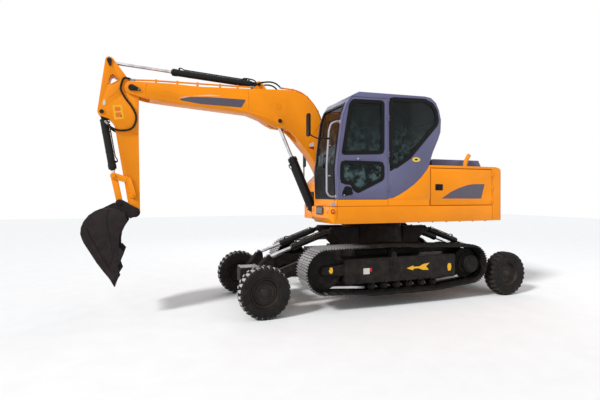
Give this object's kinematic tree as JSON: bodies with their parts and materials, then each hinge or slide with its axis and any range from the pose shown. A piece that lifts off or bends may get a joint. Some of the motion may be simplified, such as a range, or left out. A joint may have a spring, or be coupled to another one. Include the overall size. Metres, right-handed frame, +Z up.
{
  "type": "wheel crawler excavator",
  "caption": "Tracked excavator that also stands on four lift-down road wheels, with a cab, a one-piece boom, a stick and a bucket.",
  "frame": {"origin": "on the ground, under the middle of the overall length and width", "axes": "+X forward, towards the bucket; +Y left, the cab's side; +Z up"},
  "size_m": [7.228, 2.032, 3.784],
  "materials": {
    "orange_paint": "gloss orange paint, faded and scuffed",
    "violet_paint": "grey-violet paint",
    "dark_frame": "dark paint, dusty",
    "track_steel": "worn dark steel",
    "bucket_paint": "dark brown paint, worn to rust",
    "ram_paint": "black paint",
    "rod_chrome": "bright chrome",
    "tyre": "dusty black rubber",
    "rim_paint": "dark paint, dusty",
    "rail_steel": "silver paint",
    "glass": "dark tinted glass",
    "seat_fabric": "dark woven cloth",
    "dark_plastic": "dark grey plastic",
    "hose_rubber": "black rubber",
    "engine_metal": "grey cast iron"
  },
  "bodies": {
    "undercarriage": {"lower_frame": "dark_frame", "slew_ring": "dark_frame", "track_left": "track_steel", "track_right": "track_steel", "track_wheels": "track_steel"},
    "front_arm": {"front_axle": "dark_frame"},
    "rear_arm": {"rear_axle": "dark_frame"},
    "left_knuckle": {"knuckle_left": "dark_frame"},
    "right_knuckle": {"knuckle_right": "dark_frame"},
    "steering_rod": {"tie_rod": "rail_steel"},
    "wheel_front_left": {"tyre_front_left": "tyre", "rim_front_left": "rim_paint"},
    "wheel_front_right": {"tyre_front_right": "tyre", "rim_front_right": "rim_paint"},
    "wheel_rear_left": {"tyre_rear_left": "tyre", "rim_rear_left": "rim_paint"},
    "wheel_rear_right": {"tyre_rear_right": "tyre", "rim_rear_right": "rim_paint"},
    "front_barrels": {"front_lift_barrels": "ram_paint"},
    "front_rods": {"front_lift_rods": "rod_chrome"},
    "rear_barrels": {"rear_lift_barrels": "ram_paint"},
    "rear_rods": {"rear_lift_rods": "rod_chrome"},
    "house": {"deck": "orange_paint", "counterweight": "orange_paint", "side_body": "orange_paint", "right_tank": "orange_paint", "engine": "engine_metal", "cab_frame": "violet_paint", "cab_glass": "glass", "seat": "seat_fabric", "controls": "dark_plastic", "rails": "rail_steel"},
    "engine_hood": {"hood": "violet_paint"},
    "engine_door_left": {"side_door_left": "orange_paint"},
    "engine_door_right": {"side_door_right": "orange_paint"},
    "door": {"cab_door": "violet_paint", "door_glass": "glass"},
    "main_boom": {"boom": "orange_paint", "boom_pipes": "orange_paint"},
    "boom_barrel": {"boom_ram_barrel": "ram_paint"},
    "boom_rod": {"boom_ram_rod": "rod_chrome"},
    "arm_barrel": {"arm_ram_barrel": "ram_paint"},
    "arm_rod": {"arm_ram_rod": "rod_chrome"},
    "dipper": {"stick": "orange_paint", "stick_hoses": "hose_rubber"},
    "bucket_barrel": {"bucket_ram_barrel": "ram_paint"},
    "bucket_rod": {"bucket_ram_rod": "rod_chrome"},
    "guides": {"guide_links": "orange_paint"},
    "curl_link": {"bucket_link": "orange_paint"},
    "digging_bucket": {"bucket": "bucket_paint"}
  },
  "joints": [
    {"name": "swing", "type": "hinge", "parent": "undercarriage", "child": "house", "pos_m": [-1.035, 0, 1.3], "axis": [0, 0, 1], "continuous": true},
    {"name": "boom_lift", "type": "hinge", "parent": "house", "child": "main_boom", "pos_m": [-0.295, -0.15, 1.7], "axis": [0, -1, 0], "range_deg": [-60, 30]},
    {"name": "boom_ram_tilt", "type": "hinge", "parent": "house", "child": "boom_barrel", "pos_m": [-0.025, -0.15, 1.4], "axis": [0, -1, 0], "range_deg": [-57.7, 28.9]},
    {"name": "boom_ram_stroke", "type": "slide", "parent": "boom_barrel", "child": "boom_rod", "axis": [0.4033, 0, 0.9151], "range_m": [-0.403, 0.203]},
    {"name": "stick_turn", "type": "hinge", "parent": "main_boom", "child": "dipper", "pos_m": [2.965, -0.15, 3.348], "axis": [0, 1, 0], "range_deg": [-75, 35]},
    {"name": "arm_ram_tilt", "type": "hinge", "parent": "main_boom", "child": "arm_barrel", "pos_m": [1.014, -0.15, 3.591], "axis": [0, 1, 0], "range_deg": [-6.2, 3]},
    {"name": "arm_ram_stroke", "type": "slide", "parent": "arm_barrel", "child": "arm_rod", "axis": [0.9981, 0, 0.0616], "range_m": [-0.513, 0.24]},
    {"name": "bucket_curl", "type": "hinge", "parent": "dipper", "child": "digging_bucket", "pos_m": [2.922, -0.15, 1.508], "axis": [0, 1, 0], "range_deg": [-5, 140]},
    {"name": "guide_turn", "type": "hinge", "parent": "dipper", "child": "guides", "pos_m": [2.95, -0.15, 1.765], "axis": [0, 1, 0], "range_deg": [-3.7, 100.9]},
    {"name": "curl_link_turn", "type": "hinge", "parent": "guides", "child": "curl_link", "pos_m": [3.213, -0.15, 2.047], "axis": [0, 1, 0], "range_deg": [-56.1, 2.1]},
    {"name": "bucket_ram_tilt", "type": "hinge", "parent": "dipper", "child": "bucket_barrel", "pos_m": [3.368, -0.15, 2.974], "axis": [0, -1, 0], "range_deg": [-0.4, 7.1]},
    {"name": "bucket_ram_stroke", "type": "slide", "parent": "bucket_barrel", "child": "bucket_rod", "axis": [-0.1649, 0, -0.9863], "range_m": [-0.023, 0.588]},
    {"name": "front_arm_lift", "type": "hinge", "parent": "undercarriage", "child": "front_arm", "pos_m": [-0.085, 0, 0.6], "axis": [0, -1, 0], "range_deg": [-5, 22]},
    {"name": "front_ram_tilt", "type": "hinge", "parent": "undercarriage", "child": "front_barrels", "pos_m": [-0.135, 0, 1.18], "axis": [0, -1, 0], "range_deg": [-4.3, 18.6]},
    {"name": "front_ram_stroke", "type": "slide", "parent": "front_barrels", "child": "front_rods", "axis": [0.9425, 0, -0.3342], "range_m": [-0.216, 0.051]},
    {"name": "rear_arm_lift", "type": "hinge", "parent": "undercarriage", "child": "rear_arm", "pos_m": [-1.985, 0, 0.6], "axis": [0, 1, 0], "range_deg": [-5, 22]},
    {"name": "rear_ram_tilt", "type": "hinge", "parent": "undercarriage", "child": "rear_barrels", "pos_m": [-1.935, 0, 1.18], "axis": [0, 1, 0], "range_deg": [-4.3, 18.6]},
    {"name": "rear_ram_stroke", "type": "slide", "parent": "rear_barrels", "child": "rear_rods", "axis": [-0.9406, 0, -0.3396], "range_m": [-0.216, 0.051]},
    {"name": "steer_left", "type": "hinge", "parent": "front_arm", "child": "left_knuckle", "pos_m": [1.185, 0.77, 0.38], "axis": [0, 0, 1], "range_deg": [-25, 25]},
    {"name": "steer_right", "type": "hinge", "parent": "front_arm", "child": "right_knuckle", "pos_m": [1.185, -0.77, 0.38], "axis": [0, 0, 1], "range_deg": [-25, 25]},
    {"name": "steering_rod_slide", "type": "slide", "parent": "front_arm", "child": "steering_rod", "axis": [0, 1, 0], "range_m": [-0.09, 0.09]},
    {"name": "roll_front_left", "type": "hinge", "parent": "left_knuckle", "child": "wheel_front_left", "pos_m": [1.185, 0.87, 0.38], "axis": [0, 1, 0], "continuous": true},
    {"name": "roll_front_right", "type": "hinge", "parent": "right_knuckle", "child": "wheel_front_right", "pos_m": [1.185, -0.87, 0.38], "axis": [0, 1, 0], "continuous": true},
    {"name": "roll_rear_left", "type": "hinge", "parent": "rear_arm", "child": "wheel_rear_left", "pos_m": [-3.235, 0.87, 0.38], "axis": [0, 1, 0], "continuous": true},
    {"name": "roll_rear_right", "type": "hinge", "parent": "rear_arm", "child": "wheel_rear_right", "pos_m": [-3.235, -0.87, 0.38], "axis": [0, 1, 0], "continuous": true},
    {"name": "cab_door_hinge", "type": "hinge", "parent": "house", "child": "door", "pos_m": [-0.767, 1.0085, 2.4], "axis": [0, 0, 1], "range_deg": [0, 120]},
    {"name": "left_door_hinge", "type": "hinge", "parent": "house", "child": "engine_door_left", "pos_m": [-2.8325, 1.0085, 1.9], "axis": [0, 0, 1], "range_deg": [0, 90]},
    {"name": "right_door_hinge", "type": "hinge", "parent": "house", "child": "engine_door_right", "pos_m": [-2.8325, -1.0085, 1.9], "axis": [0, 0, -1], "range_deg": [0, 90]},
    {"name": "hood_hinge", "type": "hinge", "parent": "house", "child": "engine_hood", "pos_m": [-1.7265, 0, 2.2585], "axis": [0, 1, 0], "range_deg": [0, 55]}
  ],
  "couplings": [
    {"joint": "boom_ram_tilt", "follows": "boom_lift", "ratio": 0.959},
    {"joint": "boom_ram_stroke", "follows": "boom_lift", "m_per_rad": 0.383},
    {"joint": "arm_ram_tilt", "follows": "stick_turn", "ratio": 0.0805},
    {"joint": "arm_ram_stroke", "follows": "stick_turn", "m_per_rad": 0.3903},
    {"joint": "guide_turn", "follows": "bucket_curl", "ratio": 0.72},
    {"joint": "curl_link_turn", "follows": "bucket_curl", "ratio": -0.4},
    {"joint": "bucket_ram_tilt", "follows": "bucket_curl", "ratio": 0.05},
    {"joint": "bucket_ram_stroke", "follows": "bucket_curl", "m_per_rad": 0.24},
    {"joint": "front_ram_tilt", "follows": "front_arm_lift", "ratio": 0.8398},
    {"joint": "front_ram_stroke", "follows": "front_arm_lift", "m_per_rad": -0.5583},
    {"joint": "rear_ram_tilt", "follows": "rear_arm_lift", "ratio": 0.8398},
    {"joint": "rear_ram_stroke", "follows": "rear_arm_lift", "m_per_rad": -0.5583},
    {"joint": "steer_right", "follows": "steer_left", "ratio": 1},
    {"joint": "steering_rod_slide", "follows": "steer_left", "m_per_rad": -0.2}
  ]
}
